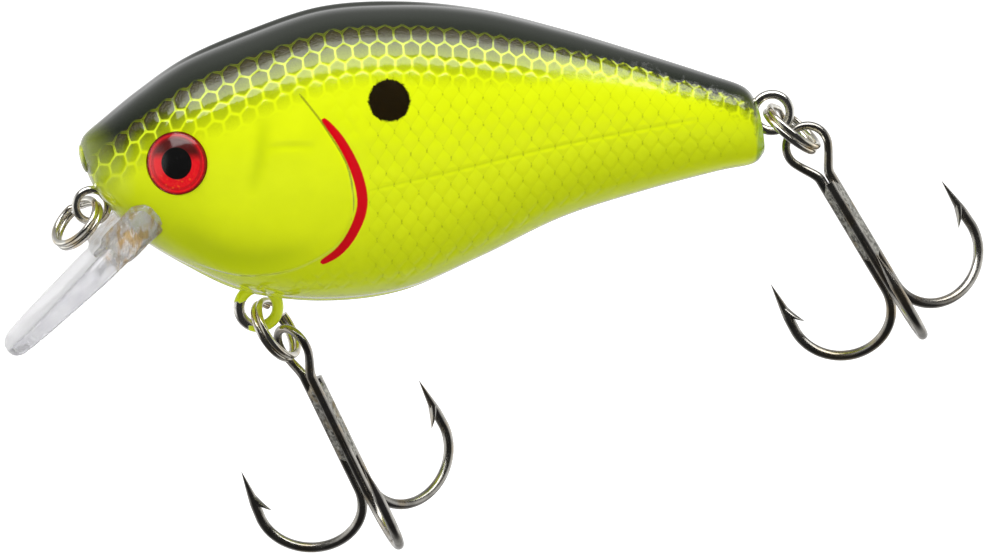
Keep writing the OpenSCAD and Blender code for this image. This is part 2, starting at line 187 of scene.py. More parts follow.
class Paint:
    """A material with one Principled shader, and short words for the nodes that feed it."""

    def __init__(self, name, **settings):
        self.material = bpy.data.materials.new(name)
        self.material.use_nodes = True
        self.tree = self.material.node_tree
        self.shader = self.tree.nodes["Principled BSDF"]
        for key, value in settings.items():
            self.shader.inputs[key.replace("_", " ").title().replace("Ior", "IOR")].default_value = value
        coordinates = self.tree.nodes.new("ShaderNodeTexCoord")
        self.position = coordinates.outputs["Object"]

    def field(self, name):
        """A number stored on the mesh's points."""
        node = self.tree.nodes.new("ShaderNodeAttribute")
        node.attribute_name = name
        return Value(self.tree, node.outputs["Fac"])

    def axes(self):
        node = self.tree.nodes.new("ShaderNodeSeparateXYZ")
        self.tree.links.new(self.position, node.inputs[0])
        return [Value(self.tree, node.outputs[i]) * (1 / MM) for i in range(3)]

    def noise(self, grain, detail=3.0, stretch=(1, 1, 1), rough=0.5):
        """Noise from 0 to 1 whose lumps are about grain millimetres across."""
        mapping = self.tree.nodes.new("ShaderNodeMapping")
        mapping.inputs["Scale"].default_value = [1 / (grain * MM * s) for s in stretch]
        self.tree.links.new(self.position, mapping.inputs["Vector"])
        node = self.tree.nodes.new("ShaderNodeTexNoise")
        node.inputs["Scale"].default_value = 1
        node.inputs["Detail"].default_value = detail
        node.inputs["Roughness"].default_value = rough
        self.tree.links.new(mapping.outputs[0], node.inputs["Vector"])
        return Value(self.tree, node.outputs["Fac"])

    def mix(self, factor, under, over):
        """Colour `under` with `over` on it where factor is 1."""
        node = self.tree.nodes.new("ShaderNodeMix")
        node.data_type = "RGBA"
        self.tree.links.new(factor.socket, node.inputs["Factor"])
        for key, colour in (("A", under), ("B", over)):
            socket = [s for s in node.inputs if s.name == key and s.type == "RGBA"][0]
            if isinstance(colour, tuple):
                socket.default_value = (*colour, 1)
            else:
                self.tree.links.new(colour, socket)
        return [s for s in node.outputs if s.type == "RGBA"][0]

    def set(self, name, value):
        socket = self.shader.inputs[name]
        self.tree.links.new(value.socket if isinstance(value, Value) else value, socket)

    def bump(self, height, depth_mm, strength=1.0, socket="Normal"):
        node = self.tree.nodes.new("ShaderNodeBump")
        node.inputs["Strength"].default_value = strength
        node.inputs["Distance"].default_value = depth_mm * MM
        self.tree.links.new(height.socket, node.inputs["Height"])
        self.tree.links.new(node.outputs[0], self.shader.inputs[socket])


# ---- Body: shape ----

HALF_WIDTH = 9.2
SECTION_POWER = 2.3
WALL = 1.3
# Body stations from nose to tail: back x, z, belly x, z, half-width as a part of the widest
BODY_KEYS = np.array([
    [-1.0, 5.3, -0.4, 2.9, 0.13],
    [-0.6, 6.2, 0.1, 1.8, 0.25],
    [0.9, 7.5, 1.0, 0.5, 0.39],
    [4.0, 10.0, 3.6, -2.4, 0.60],
    [8.1, 12.8, 8.0, -5.2, 0.80],
    [13.4, 15.1, 13.2, -7.6, 0.95],
    [20.0, 17.2, 20.0, -8.5, 1.00],
    [27.0, 17.59, 27.0, -7.69, 0.97],
    [34.0, 16.85, 34.0, -4.7, 0.86],
    [41.0, 15.1, 41.0, -1.4, 0.70],
    [48.0, 12.95, 48.0, 0.8, 0.53],
    [54.0, 11.0, 54.6, 2.5, 0.39],
    [57.0, 9.9, 57.8, 3.15, 0.32],
    [58.1, 8.6, 58.8, 4.15, 0.23],
])
EYE_CENTRE = np.array([6.85, -6.75, 4.2])
EYE_FORWARD = 24
EYE_R = 2.7
EYE_SINK = 0.94


def along_keys(t):
    """The stations at places t, counted in keys, on a smooth curve through all the keys."""
    last = len(BODY_KEYS) - 1
    i = np.minimum(t.astype(int), last - 1)
    f = (t - i)[:, None]
    p0, p1, p2, p3 = (BODY_KEYS[np.clip(i + k, 0, last)] for k in (-1, 0, 1, 2))
    return 0.5 * (2 * p1 + (p2 - p0) * f + (2 * p0 - 5 * p1 + 4 * p2 - p3) * f ** 2
                  + (3 * p1 - p0 - 3 * p2 + p3) * f ** 3)


def half_sections(stations, angles, inset=0.0):
    """Points of the left half's sections, from the back (angle 0) to the belly (180)."""
    top = np.stack([stations[:, 0], 0 * stations[:, 0], stations[:, 1]], 1)
    low = np.stack([stations[:, 2], 0 * stations[:, 0], stations[:, 3]], 1)
    tall = np.linalg.norm(top - low, axis=1)
    up = (top - low) / tall[:, None]
    c, s = np.cos(angles), np.clip(np.sin(angles), 0, None)
    power = 2 / SECTION_POWER
    rise = np.sign(c) * np.abs(c) ** power
    out = s ** power
    out[0] = out[-1] = 0
    half = tall / 2 - inset
    width = stations[:, 4] * HALF_WIDTH - inset
    points = ((top + low) / 2)[:, None] + up[:, None] * (half[:, None] * rise)[..., None]
    points[..., 1] -= width[:, None] * out
    return points


def even_places(spacing):
    """Places along the keys whose sections are about `spacing` apart."""
    fine = np.linspace(0, len(BODY_KEYS) - 1, 4001)
    stations = along_keys(fine)
    middle = (stations[:, :2] + stations[:, 2:4]) / 2
    travel = np.r_[0, np.cumsum(np.linalg.norm(np.diff(middle, axis=0), axis=1))]
    back = np.r_[0, np.cumsum(np.linalg.norm(np.diff(stations[:, :2], axis=0), axis=1))]
    travel = (travel + back) / 2
    count = int(travel[-1] / spacing)
    return np.interp(np.linspace(0, travel[-1], count), travel, fine)


# Side-view curves that the paint and the moulded detail follow: x and z of each point
fine_stations = along_keys(np.linspace(0, len(BODY_KEYS) - 1, 1301))
BACK_X, BACK_Z = fine_stations[:, 0], fine_stations[:, 1]
BELLY_X, BELLY_Z = fine_stations[:, 2], fine_stations[:, 3]
BACK_RUN = np.r_[0, np.cumsum(np.hypot(np.diff(BACK_X), np.diff(BACK_Z)))]
# Count of net cells from the nose: they're 1.62 mm wide at the head and 1.42 mm aft
CELL_RUN = np.cumsum(np.gradient(BACK_RUN) / (1.62 - 0.20 * smoothstep(BACK_X, 14, 40)))
# Distance between the net's rows of cells
NET_ROW = 1.24
BACK_SLOPE = np.gradient(BACK_Z, BACK_X + np.arange(len(BACK_X)) * 1e-6)
GILL_LINE = np.array([[19.35, 8.1], [20.85, 6.25], [22.15, 3.75], [22.75, 1.5], [22.65, -0.2],
                      [21.85, -2.15], [20.75, -3.6], [19.35, -4.55]])
PLATE_EDGE = np.array([[16.6, 11.2], [18.3, 9.1], [19.6, 7.3], [21.4, 4.2], [22.0, 1.2], [21.85, -0.6],
                       [20.9, -2.8], [18.8, -4.4], [16.2, -5.5], [12.6, -5.9], [9.0, -5.0], [5.5, -3.4]])
LATERAL_LINE = np.array([[22.0, 1.6], [30.0, 3.3], [40.0, 5.4], [52.0, 7.3], [60.0, 8.2]])
SPOT = (25.15, 9.62)
SPOT_R = 1.8


def smooth_line(points, count=160):
    """More points on a smooth curve through the given ones."""
    t = np.linspace(0, len(points) - 1, count)
    i = np.minimum(t.astype(int), len(points) - 2)
    f = (t - i)[:, None]
    p = [points[np.clip(i + k, 0, len(points) - 1)] for k in (-1, 0, 1, 2)]
    return 0.5 * (2 * p[1] + (p[2] - p[0]) * f + (2 * p[0] - 5 * p[1] + 4 * p[2] - p[3]) * f ** 2
                  + (3 * p[1] - p[0] - 3 * p[2] + p[3]) * f ** 3)


def line_distance(x, z, line):
    """Distance to a line, which side (+ on the line's right), and how far along it from 0 to 1."""
    best = np.full(x.shape, 1e9)
    side = np.zeros(x.shape)
    share = np.zeros(x.shape)
    steps = np.hypot(*np.diff(line, axis=0).T)
    total = np.r_[0, np.cumsum(steps)] / steps.sum()
    for k in range(len(line) - 1):
        a, d = line[k], line[k + 1] - line[k]
        t = np.clip(((x - a[0]) * d[0] + (z - a[1]) * d[1]) / (d @ d), 0, 1)
        px, pz = x - a[0] - t * d[0], z - a[1] - t * d[1]
        r = np.hypot(px, pz)
        near = r < best
        best = np.where(near, r, best)
        side = np.where(near, np.sign(px * d[1] - pz * d[0]), side)
        share = np.where(near, total[k] + t * (total[k + 1] - total[k]), share)
    return best, side, share


gill_line = smooth_line(GILL_LINE)
plate_edge = smooth_line(PLATE_EDGE)
lateral_line = smooth_line(LATERAL_LINE)
SCALE_PITCH = 1.42
SCALE_HEIGHT = 2.3
# Soft folds of the cheek: points, depth and half-width of each
CREASES = (
    ([[14.4, 5.7], [16.5, 5.8], [18.8, 5.75]], 0.10, 0.30),
    ([[14.3, 8.3], [14.0, 5.0], [13.2, 1.5]], 0.16, 0.6),
    ([[6.4, -1.6], [10.0, -3.6], [14.0, -4.2], [18.6, -3.3]], 0.20, 0.95),
)


def lateral_height(x, z):
    """Height over the lateral line."""
    return z - np.interp(x, lateral_line[:, 0], lateral_line[:, 1])


def scale_rows(x, z):
    """Count of scale rows over the lateral line, bent so that each scale is a tall leaf."""
    rows = lateral_height(x, z) / SCALE_HEIGHT
    return rows - 0.05 * np.sin(4 * math.pi * rows)


def crease_depth(x, z):
    """How deep the soft folds of the cheek are, in millimetres."""
    total = np.zeros(x.shape)
    for points, depth, width in CREASES:
        d, _, s = line_distance(x, z, smooth_line(np.array(points), 40))
        total += depth * np.exp(-(d / width) ** 2) * np.clip(np.sin(math.pi * s), 0, 1) ** 0.6
    return total


def body_fields(x, z):
    """Every field that the paint reads, from places in side view."""
    order = np.argsort(BACK_X)
    # The last millimetre drops away at the tail's end, so the band keeps to the line before it
    back = np.interp(np.minimum(x, 57.0), BACK_X[order], BACK_Z[order])
    slope = np.interp(x, BACK_X[order], BACK_SLOPE[order])
    cells = np.interp(x, BACK_X[order], CELL_RUN[order])
    tilt = 1 / np.hypot(1, slope)
    below = (back - z) * tilt
    cells = cells - (back - z) * slope * tilt ** 2 * 0.5 / 1.5
    belly = np.interp(x, BELLY_X, BELLY_Z)
    plate, _, plate_share = line_distance(x, z, plate_edge)
    gill, _, share = line_distance(x, z, gill_line)
    gill_half = 0.46 * np.clip(np.sin(math.pi * np.clip(share, 0, 1)), 0, 1) ** 0.2
    return {
        "cells": cells,
        "below": below,
        "gill": gill - gill_half,
        "spot": np.hypot(x - SPOT[0], z - SPOT[1]) - SPOT_R,
        "rise": z - belly,
        "lateral": lateral_height(x, z),
        "rows": scale_rows(x, z),
        "crease_shade": crease_depth(x, z),
        "plate": (plate + 0.5 * smoothstep(plate_share, 0.30, 0.75)
                  + 0.5 * (1 - smoothstep(plate_share, 0.0, 0.05))),
    }


def scale_cover(x, z):
    """How far the moulded scales show: 1 on the flank behind the gill plate, 0 elsewhere."""
    edge, side, _ = line_distance(x, z, plate_edge)
    back = np.interp(x, BACK_X, BACK_Z)
    belly = np.interp(x, BELLY_X, BELLY_Z)
    behind = smoothstep(np.where(side < 0, edge, -edge), 0.6, 1.6)
    behind = np.where(x > 22.5, smoothstep(x, 22.6, 23.6), behind * (x > 17))
    below = back - z - 2.2 - 2.4 * (1 - smoothstep(x, 30, 48))
    before_tail_end = 1 - smoothstep(x, 56.2, 57.6)
    return behind * smoothstep(z - belly, 0.9, 1.8) * smoothstep(below, 0.3, 4.0) * before_tail_end


def relief(x, z):
    """Height of the moulded detail over the plain body, in millimetres."""
    edge, side, share = line_distance(x, z, plate_edge)
    inside = np.where(side > 0, edge, -edge)
    plate = 0.26 * smoothstep(inside, -0.22, 0.30) * (1 - smoothstep(inside, 1.5, 8.0)) * (x > -1)
    plate = plate * (0.4 + 0.6 * smoothstep(share, 0.15, 0.32)) * smoothstep(share, 0.04, 0.16)
    plate = plate * (1 - smoothstep(share, 0.82, 0.97))
    gill, _, gill_share = line_distance(x, z, gill_line)
    groove = -0.07 * (1 - smoothstep(gill, 0.25, 0.55)) * np.clip(np.sin(math.pi * gill_share), 0, 1) ** 0.5

    lateral = lateral_height(x, z)
    rows = scale_rows(x, z)
    a = (x / SCALE_PITCH + rows) % 1
    b = (x / SCALE_PITCH - rows) % 1
    near = np.minimum(np.minimum(a, 1 - a), np.minimum(b, 1 - b))
    scales = 0.075 * smoothstep(near, 0.0, 0.20) - 0.05 * (a + 1 - b) * 0.4
    lateral_groove = -0.08 * np.exp(-(lateral / 0.17) ** 2)
    lateral_groove = lateral_groove * smoothstep(x, 22.5, 25) * (1 - smoothstep(x, 50, 54))
    return plate + groove - crease_depth(x, z) + scales * scale_cover(x, z) + lateral_groove


def body_half(name, side):
    """Half of the body as a hollow closed shell, side -1 for the left half and 1 for the right."""
    places = even_places(0.18)
    angles = np.linspace(0, math.pi, 231)
    stations = along_keys(places)
    skin = half_sections(stations, angles)
    n, m = skin.shape[:2]
    d_u = np.gradient(skin, axis=0)
    d_a = np.gradient(skin, axis=1)
    normal = np.cross(d_u, d_a)
    normal /= np.linalg.norm(normal, axis=2)[..., None] + 1e-12
    normal *= np.sign(np.sum(normal * np.array([0, -1, 0]), axis=2).mean())
    x = skin[..., 0]
    # The skin is sunk a little, most behind the eyes, so that the raised detail stays inside the CAD's
    lift = relief(x, skin[..., 2]) - 0.06 - 0.21 * smoothstep(x, 5, 12) * (1 - smoothstep(x, 24, 34))
    lift *= smoothstep(-skin[..., 1], 0.05, 1.2)
    skin = skin + normal * lift[..., None]
    skin[:, 0, 1] = skin[:, -1, 1] = 0
    points = [skin.reshape(-1, 3)]
    faces = [(i * m + j, i * m + j + 1, (i + 1) * m + j + 1, (i + 1) * m + j)
             for i in range(n - 1) for j in range(m - 1)]

    def dome(ring_start, ring, push, steps=7):
        """Closes an end with a low dome on the ring of points that starts at ring_start."""
        centre = (ring[0] + ring[-1]) / 2
        before = np.arange(m) + ring_start
        for k in range(1, steps + 1):
            turn = 0.5 * math.pi * k / (steps + 1)
            layer = centre + (ring - centre) * math.cos(turn) + np.array(push) * math.sin(turn)
            layer[0, 1] = layer[-1, 1] = 0
            start = sum(len(p) for p in points)
            points.append(layer)
            now = np.arange(m) + start
            faces.extend((before[j], before[j + 1], now[j + 1], now[j]) for j in range(m - 1))
            rim.append((start, start + m - 1))
            before = now
        faces.append(tuple(before))

    rim = []
    dome(0, skin[0], (-0.30, 0, -0.10))
    nose_rim = rim
    rim = []
    dome((n - 1) * m, skin[-1], (0.12, 0, -0.02))
    tail_rim = rim

    # Cavity: every station but only each fifth angle, from behind the eyes to before the tail
    first = int(np.argmax(stations[:, 0] > 11.5))
    last = int(np.argmax(stations[:, 0] > 53.0))
    inner_rows = np.arange(first, last + 1)
    inner = half_sections(stations[inner_rows], angles[::5], WALL)
    k = inner.shape[1]
    base = sum(len(p) for p in points)
    points.append(inner.reshape(-1, 3))
    faces += [(base + i * k + j, base + i * k + j + 1, base + (i + 1) * k + j + 1, base + (i + 1) * k + j)
              for i in range(len(inner_rows) - 1) for j in range(k - 1)]
    faces += [tuple(base + j for j in range(k)),
              tuple(base + (len(inner_rows) - 1) * k + j for j in range(k))]
    # Flat rim at the parting plane
    for i in range(n - 1):
        top = (i * m, (i + 1) * m)
        low = (i * m + m - 1, (i + 1) * m + m - 1)
        if first <= i < last:
            a = base + (i - first) * k
            faces.append((top[0], top[1], a + k, a))
            faces.append((low[0], low[1], a + 2 * k - 1, a + k - 1))
        elif i == first - 1:
            faces.append((top[0], top[1], base, base + k - 1, low[1], low[0]))
        elif i == last:
            a = base + (last - first) * k
            faces.append((top[1], top[0], a, a + k - 1, low[0], low[1]))
        else:
            faces.append((top[0], top[1], low[1], low[0]))
    for start, end, steps in ((0, m - 1, nose_rim), ((n - 1) * m, n * m - 1, tail_rim)):
        for nxt in steps:
            faces.append((start, nxt[0], nxt[1], end))
            start, end = nxt
    points = np.vstack(points)
    points[:, 1] *= -side
    return place(name, points, faces, materials["painted_body"])


def cut(piece, cutter):
    """Takes the cutter's shape out of the piece, then removes the cutter."""
    modifier = piece.modifiers.new("cut", "BOOLEAN")
    modifier.operation = "DIFFERENCE"
    modifier.object = cutter
    modifier.solver = "MANIFOLD"
    graph = bpy.context.evaluated_depsgraph_get()
    mesh = bpy.data.meshes.new_from_object(piece.evaluated_get(graph))
    piece.modifiers.clear()
    piece.data = mesh
    bpy.data.objects.remove(cutter)
    finish_mesh(mesh, 35)


def store_fields(piece):
    """Stores the paint's fields on the points of the piece."""
    count = len(piece.data.vertices)
    points = np.zeros(count * 3, np.float32)
    piece.data.vertices.foreach_get("co", points)
    points = points.reshape(-1, 3).astype(float) / MM
    for key, values in body_fields(points[:, 0], points[:, 2]).items():
        attribute = piece.data.attributes.new(key, "FLOAT", "POINT")
        attribute.data.foreach_set("value", values.astype(np.float32))


# ---- Body: paint ----

CHARTREUSE = (0.70, 0.81, 0.004)
DEEP_GREEN = (0.42, 0.53, 0.0)
NET_LINE = (0.62, 0.76, 0.02)
OLIVE = (0.30, 0.38, 0.002)
DARK_CELL = (0.034, 0.028, 0.003)
BLACK = (0.014, 0.018, 0.011)
RED = (0.62, 0.0, 0.006)
SPOT_BLACK = (0.008, 0.005, 0.001)
SPOT_GOLD = (0.055, 0.030, 0.004)


def hex_depth(u, v):
    """How deep a place lies in its hexagon: 0 on an edge, 0.5 at the middle, for a width of 1."""
    tall = math.sqrt(3)

    def reach(x, y):
        straight = x.abs().math("MAXIMUM", x.abs() * 0.5 + y.abs() * (tall / 2))
        return straight.math("MAXIMUM", (x * x + y * y).math("POWER", 0.5) * 0.92)

    one = reach(u.wrap(1), v.wrap(tall))
    two = reach((u + 0.5).wrap(1), (v + tall / 2).wrap(tall))
    return 0.5 - one.math("MINIMUM", two)


def body_paint():
    paint = Paint("painted_body", specular_ior_level=0.12, coat_weight=1.0, coat_roughness=0.035,
                  coat_ior=1.5)
    cells, below, gill, spot, rise, lateral, rows, crease_shade, plate = (
        paint.field(k) for k in ("cells", "below", "gill", "spot", "rise", "lateral", "rows", "crease_shade",
                                 "plate"))
    x, _, z = paint.axes()
    mottle = paint.noise(2.6, 2)
    grain = paint.noise(0.16, 2, rough=0.7)
    speck = paint.noise(0.09, 1)

    # The airbrushed back ends 1.9 mm down, 1.6 at the nose and 1.3 at the tail; the net fades out below
    edge_depth = 1.45 - x.step(12, -1) * 0.3 - x.step(32, 48) * 0.6
    reach = 5.6 - x.step(28, 50) * 3.9 - x.step(12, 2) * 1.6
    down = below - edge_depth
    aft = x.step(40, 50)
    sway = (mottle - 0.5) * 0.25
    depth = hex_depth(cells + sway, down / (NET_ROW / (math.sqrt(3) / 2)) + sway + 0.15)
    line = depth.step(0.075, 0.025) * (1 - aft * 0.65)
    ragged = paint.noise(0.9, 3, rough=0.6)
    tone = (down + (grain - 0.5) * 0.8 + (mottle - 0.5) * 0.7 + (ragged - 0.5) * aft * 2.0) / reach
    black_cell = tone.step(0.36, 0.14)
    dark_cell = tone.step(0.72, 0.20)
    olive_cell = tone.step(1.05, 0.60) * 0.75

    colour = paint.mix(mottle.step(0.2, 0.8) * 0.12, CHARTREUSE, DEEP_GREEN)
    # Grooves between the moulded scales and along the lateral line hold a little painted shadow, with a dark
    # dot where they cross
    a = (x / SCALE_PITCH + rows).wrap(1).abs()
    b = (x / SCALE_PITCH - rows).wrap(1).abs()
    on_scales = x.step(22.8, 24.0) * rise.step(0.9, 2.0) * x.step(57.6, 55.5)
    grooves = a.math("MINIMUM", b).step(0.07, 0.0) * on_scales * (0.18 + grain * 0.25)
    grooves = grooves + lateral.abs().step(0.16, 0.04) * on_scales * x.step(54, 48) * 0.5
    dots = (a + b).step(0.14, 0.05) * on_scales * grain.step(0.42, 0.62)
    colour = paint.mix(grooves * 0.5, colour, DEEP_GREEN)
    # Painted shade in the soft folds of the cheek, deepest where the folds are
    colour = paint.mix(crease_shade * 2.8, colour, DEEP_GREEN)
    colour = paint.mix(dots * 0.75, colour, OLIVE)
    # Net of scales over the shoulder
    colour = paint.mix(olive_cell * (1 - line) * depth.step(0.0, 0.16), colour, OLIVE)
    colour = paint.mix(dark_cell * (1 - line), colour, (0.085, 0.105, 0.003))
    colour = paint.mix(black_cell * (1 - line), colour, DARK_CELL)
    top_line = paint.mix(tone.step(0.38, 0.10), NET_LINE, (0.07, 0.09, 0.004))
    colour = paint.mix(line * dark_cell, colour, top_line)
    edge = down + (ragged - 0.5) * (0.45 + aft * 0.9) + line * 0.14
    colour = paint.mix(edge.step(0.56, 0.28), colour, BLACK)
    # Painted shade darkens the lower flank and a painted reflection of the pale floor lightens the belly's
    # edge; the nose has overspray, and the end face of the tail is a darker green
    colour = paint.mix(rise.step(7.5, 1.5) * rise.step(0.2, 1.2) * 0.42, colour, DEEP_GREEN)
    colour = paint.mix(rise.step(0.9, 0.0) * 0.25, colour, (0.80, 0.86, 0.25))
    nose_dust = x.step(2.2, -0.9) * z.step(3.6, 6.4) * (speck.step(0.45, 0.62) * 0.5 + 0.12)
    colour = paint.mix(nose_dust, colour, (0.09, 0.11, 0.004))
    colour = paint.mix(x.step(57.75, 58.1) * z.step(9.3, 8.6), colour, (0.30, 0.44, 0.012))
    nose_face = x.step(-0.72, -1.0) * z.step(5.5, 4.9)
    colour = paint.mix(nose_face * (0.9 - speck.step(0.5, 0.65) * 0.4), colour, CHARTREUSE)
    # Spot and gill slash
    spiky = spot + (grain - 0.5) * 0.30 - line * 0.08 + (mottle - 0.5) * 0.1
    gold = speck.step(0.52, 0.75) * 0.5
    colour = paint.mix(spiky.step(0.10, -0.10), colour, paint.mix(gold, SPOT_BLACK, SPOT_GOLD))
    colour = paint.mix((gill + (grain - 0.5) * 0.06).step(0.05, -0.05), colour, RED)
    # Painted shade in the crease along the gill plate's edge
    colour = paint.mix(plate.step(0.14, 0.05) * 0.7, colour, (0.13, 0.15, 0.01))
    paint.set("Base Color", colour)
    paint.set("Roughness", 0.18 + grain * 0.12)
    pillow = (1 - (1 - depth * 2).math("POWER", 2)) * tone.step(1.0, 0.6) * tone.step(0.05, 0.25)
    paint.bump(grain * 0.5 + grooves * -1.5 + mottle * 0.4 + pillow * 5.0, 0.012, 0.6)
    paint.bump(pillow + ragged * pillow * 0.5 + mottle * 0.1, 0.045, 1.0, "Coat Normal")
    return paint.material


# ---- Plain materials ----

def plated(name, colour, shade, rough, tint=None):
    """Plated wire: bright, with fine drawing marks, stains and worn patches."""
    paint = Paint(name, metallic=1.0)
    stain = paint.noise(1.4, 3)
    marks = paint.noise(0.12, 2, rough=0.7)
    fine = paint.mix(stain.step(0.35, 0.7), colour, shade)
    if tint:
        fine = paint.mix(paint.noise(2.2, 2).step(0.48, 0.72) * 0.8, fine, tint)
    paint.set("Base Color", fine)
    paint.set("Roughness", rough + marks * 0.12 + stain * 0.05)
    paint.bump(marks, 0.006, 0.5)
    return paint.material


def painted_wire():
    """Body paint over bright wire, chipped off at the front and the bottom of the eye."""
    paint = Paint("painted_wire", coat_weight=0.6, coat_roughness=0.05)
    x, _, z = paint.axes()
    ragged = paint.noise(0.5, 3, rough=0.6)
    front = (14.35 - x + (ragged - 0.5) * 0.7).step(-0.05, 0.05)
    chip = front * (-8.55 - z + (ragged - 0.5) * 0.8).step(-0.05, 0.05)
    left = (-10.55 - z + (ragged - 0.5) * 0.3).step(-0.05, 0.05) * (x - 13.6).step(-0.1, 0.1)
    chip = chip * (1 - left)
    paint.set("Base Color", paint.mix(chip, CHARTREUSE, (0.88, 0.86, 0.80)))
    paint.set("Metallic", chip)
    paint.set("Roughness", 0.32 - chip * 0.16)
    paint.bump((1 - chip) + ragged * 0.2, 0.05, 0.8)
    return paint.material


def braze_metal():
    paint = Paint("braze", metallic=0.9)
    lumps = paint.noise(0.35, 4, rough=0.65)
    stain = paint.noise(1.3, 2)
    grey = paint.mix(lumps.step(0.38, 0.60), (0.16, 0.155, 0.14), (0.56, 0.55, 0.50))
    paint.set("Base Color", paint.mix(stain.step(0.55, 0.75) * 0.6, grey, (0.42, 0.31, 0.14)))
    paint.set("Roughness", 0.34 + lumps * 0.25)
    paint.bump(lumps, 0.05, 0.9)
    return paint.material


def clear_plastic():
    """Clear plastic, a little milky in the blade, with tan and grey streaks of painted reflection in the root.
    """
    paint = Paint("clear_lip", ior=1.5)
    x, _, z = paint.axes()
    root = (x * 0.72 + z * 0.70).step(-3.6, 0.2)
    flow = paint.noise(1.2, 2, stretch=(1, 3, 1))
    streak = paint.noise(1.1, 3, stretch=(0.55, 2.2, 1.3), rough=0.6)
    scuff = paint.noise(0.25, 3, rough=0.7)
    base = paint.mix(flow.step(0.3, 0.8), (0.95, 0.95, 0.97), (0.86, 0.85, 0.90))
    # Tan and pale grey streaks in the root are painted reflections of the wires and the painted body seen
    # through the plastic
    base = paint.mix(streak.step(0.47, 0.60) * root, base, (0.78, 0.58, 0.30))
    base = paint.mix(streak.step(0.44, 0.36) * root * 0.7, base, (0.80, 0.82, 0.70))
    paint.set("Base Color", base)
    paint.set("Transmission Weight", 0.70 + root * 0.06)
    paint.set("Roughness", 0.03 + scuff.step(0.5, 0.8) * 0.10)
    paint.bump(flow * 0.8 + scuff * 0.2 + streak * root * 6.0, 0.03, 0.6)
    return paint.material


def lens_resin():
    """Thin clear dome: it lets lamps through and keeps its gloss."""
    material = bpy.data.materials.new("clear_lens")
    material.use_nodes = True
    tree = material.node_tree
    tree.nodes.remove(tree.nodes["Principled BSDF"])
    clear = tree.nodes.new("ShaderNodeBsdfTransparent")
    gloss = tree.nodes.new("ShaderNodeBsdfGlossy")
    gloss.inputs["Roughness"].default_value = 0.16
    facing = tree.nodes.new("ShaderNodeLayerWeight")
    facing.inputs["Blend"].default_value = 0.5
    share = Value(tree, facing.outputs["Facing"]).math("POWER", 4.0) * 0.5 + 0.055
    mix = tree.nodes.new("ShaderNodeMixShader")
    tree.links.new(share.socket, mix.inputs[0])
    tree.links.new(clear.outputs[0], mix.inputs[1])
    tree.links.new(gloss.outputs[0], mix.inputs[2])
    tree.links.new(mix.outputs[0], tree.nodes["Material Output"].inputs["Surface"])
    return material


def foil():
    """Red foil behind the lens, brightest in a ring round the pupil and dark at its rim."""
    paint = Paint("red_foil", metallic=0.1, roughness=0.4, specular_ior_level=0.15, coat_weight=0.1,
                  coat_roughness=0.05)
    radius = paint.field("radius")
    flecks = paint.noise(0.18, 3, rough=0.7)
    red = paint.mix(flecks.step(0.35, 0.7), (0.95, 0.0, 0.012), (1.0, 0.02, 0.02))
    red = paint.mix(radius.step(2.05, 2.15) * radius.step(2.45, 2.3) * 0.45, red, (0.30, 0.0, 0.006))
    red = paint.mix(radius.step(2.42, 2.66) * 0.85, red, (0.12, 0.0, 0.0))
    # Painted dark reflection over the iris above the pupil, and painted orange glints below it
    up = paint.axes()[2] - float(EYE_CENTRE[2])
    red = paint.mix(up.step(0.1, 1.1) * radius.step(2.6, 2.0) * 0.92, red, (0.030, 0.004, 0.002))
    painted_glints = paint.noise(0.35, 2).step(0.60, 0.72) * up.step(-0.6, -1.4)
    red = paint.mix(painted_glints * 0.7, red, (1.0, 0.16, 0.01))
    paint.set("Base Color", red)
    paint.bump(flecks, 0.01, 0.5)
    return paint.material


def gloss_black():
    paint = Paint("pupil_black", roughness=0.15, specular_ior_level=0.2)
    dust = paint.noise(0.2, 2)
    paint.set("Base Color", paint.mix(dust.step(0.6, 0.8) * 0.3, (0.004, 0.004, 0.004), (0.02, 0.02, 0.02)))
    return paint.material


materials = {
    "painted_body": body_paint(),
    "clear_lip": clear_plastic(),
    "nickel_wire": plated("nickel_wire", (0.86, 0.85, 0.80), (0.66, 0.63, 0.55), 0.12),
    "painted_wire": painted_wire(),
    "nickel_ring": plated("nickel_ring", (0.88, 0.86, 0.80), (0.70, 0.66, 0.56), 0.10, (0.72, 0.54, 0.26)),
    "black_nickel": plated("black_nickel", (0.52, 0.50, 0.46), (0.32, 0.31, 0.28), 0.14, (0.46, 0.38, 0.26)),
    "braze": braze_metal(),
    "red_foil": foil(),
    "pupil_black": gloss_black(),
    "clear_lens": lens_resin(),
    "ballast_steel": plated("ballast_steel", (0.50, 0.50, 0.52), (0.36, 0.36, 0.38), 0.28),
    "ball_steel": plated("ball_steel", (0.70, 0.70, 0.72), (0.60, 0.60, 0.63), 0.08),
}


# ---- Eyes ----

def eye_frame(points, side):
    """Takes points from an eye's own frame, facing +Z, to its place on the left (-1) or right (1)."""
    turn = rotation("Z", -EYE_FORWARD) @ rotation("X", 90)
    out = np.asarray(points) @ turn.T + EYE_CENTRE
    out[:, 1] *= -side
    return out


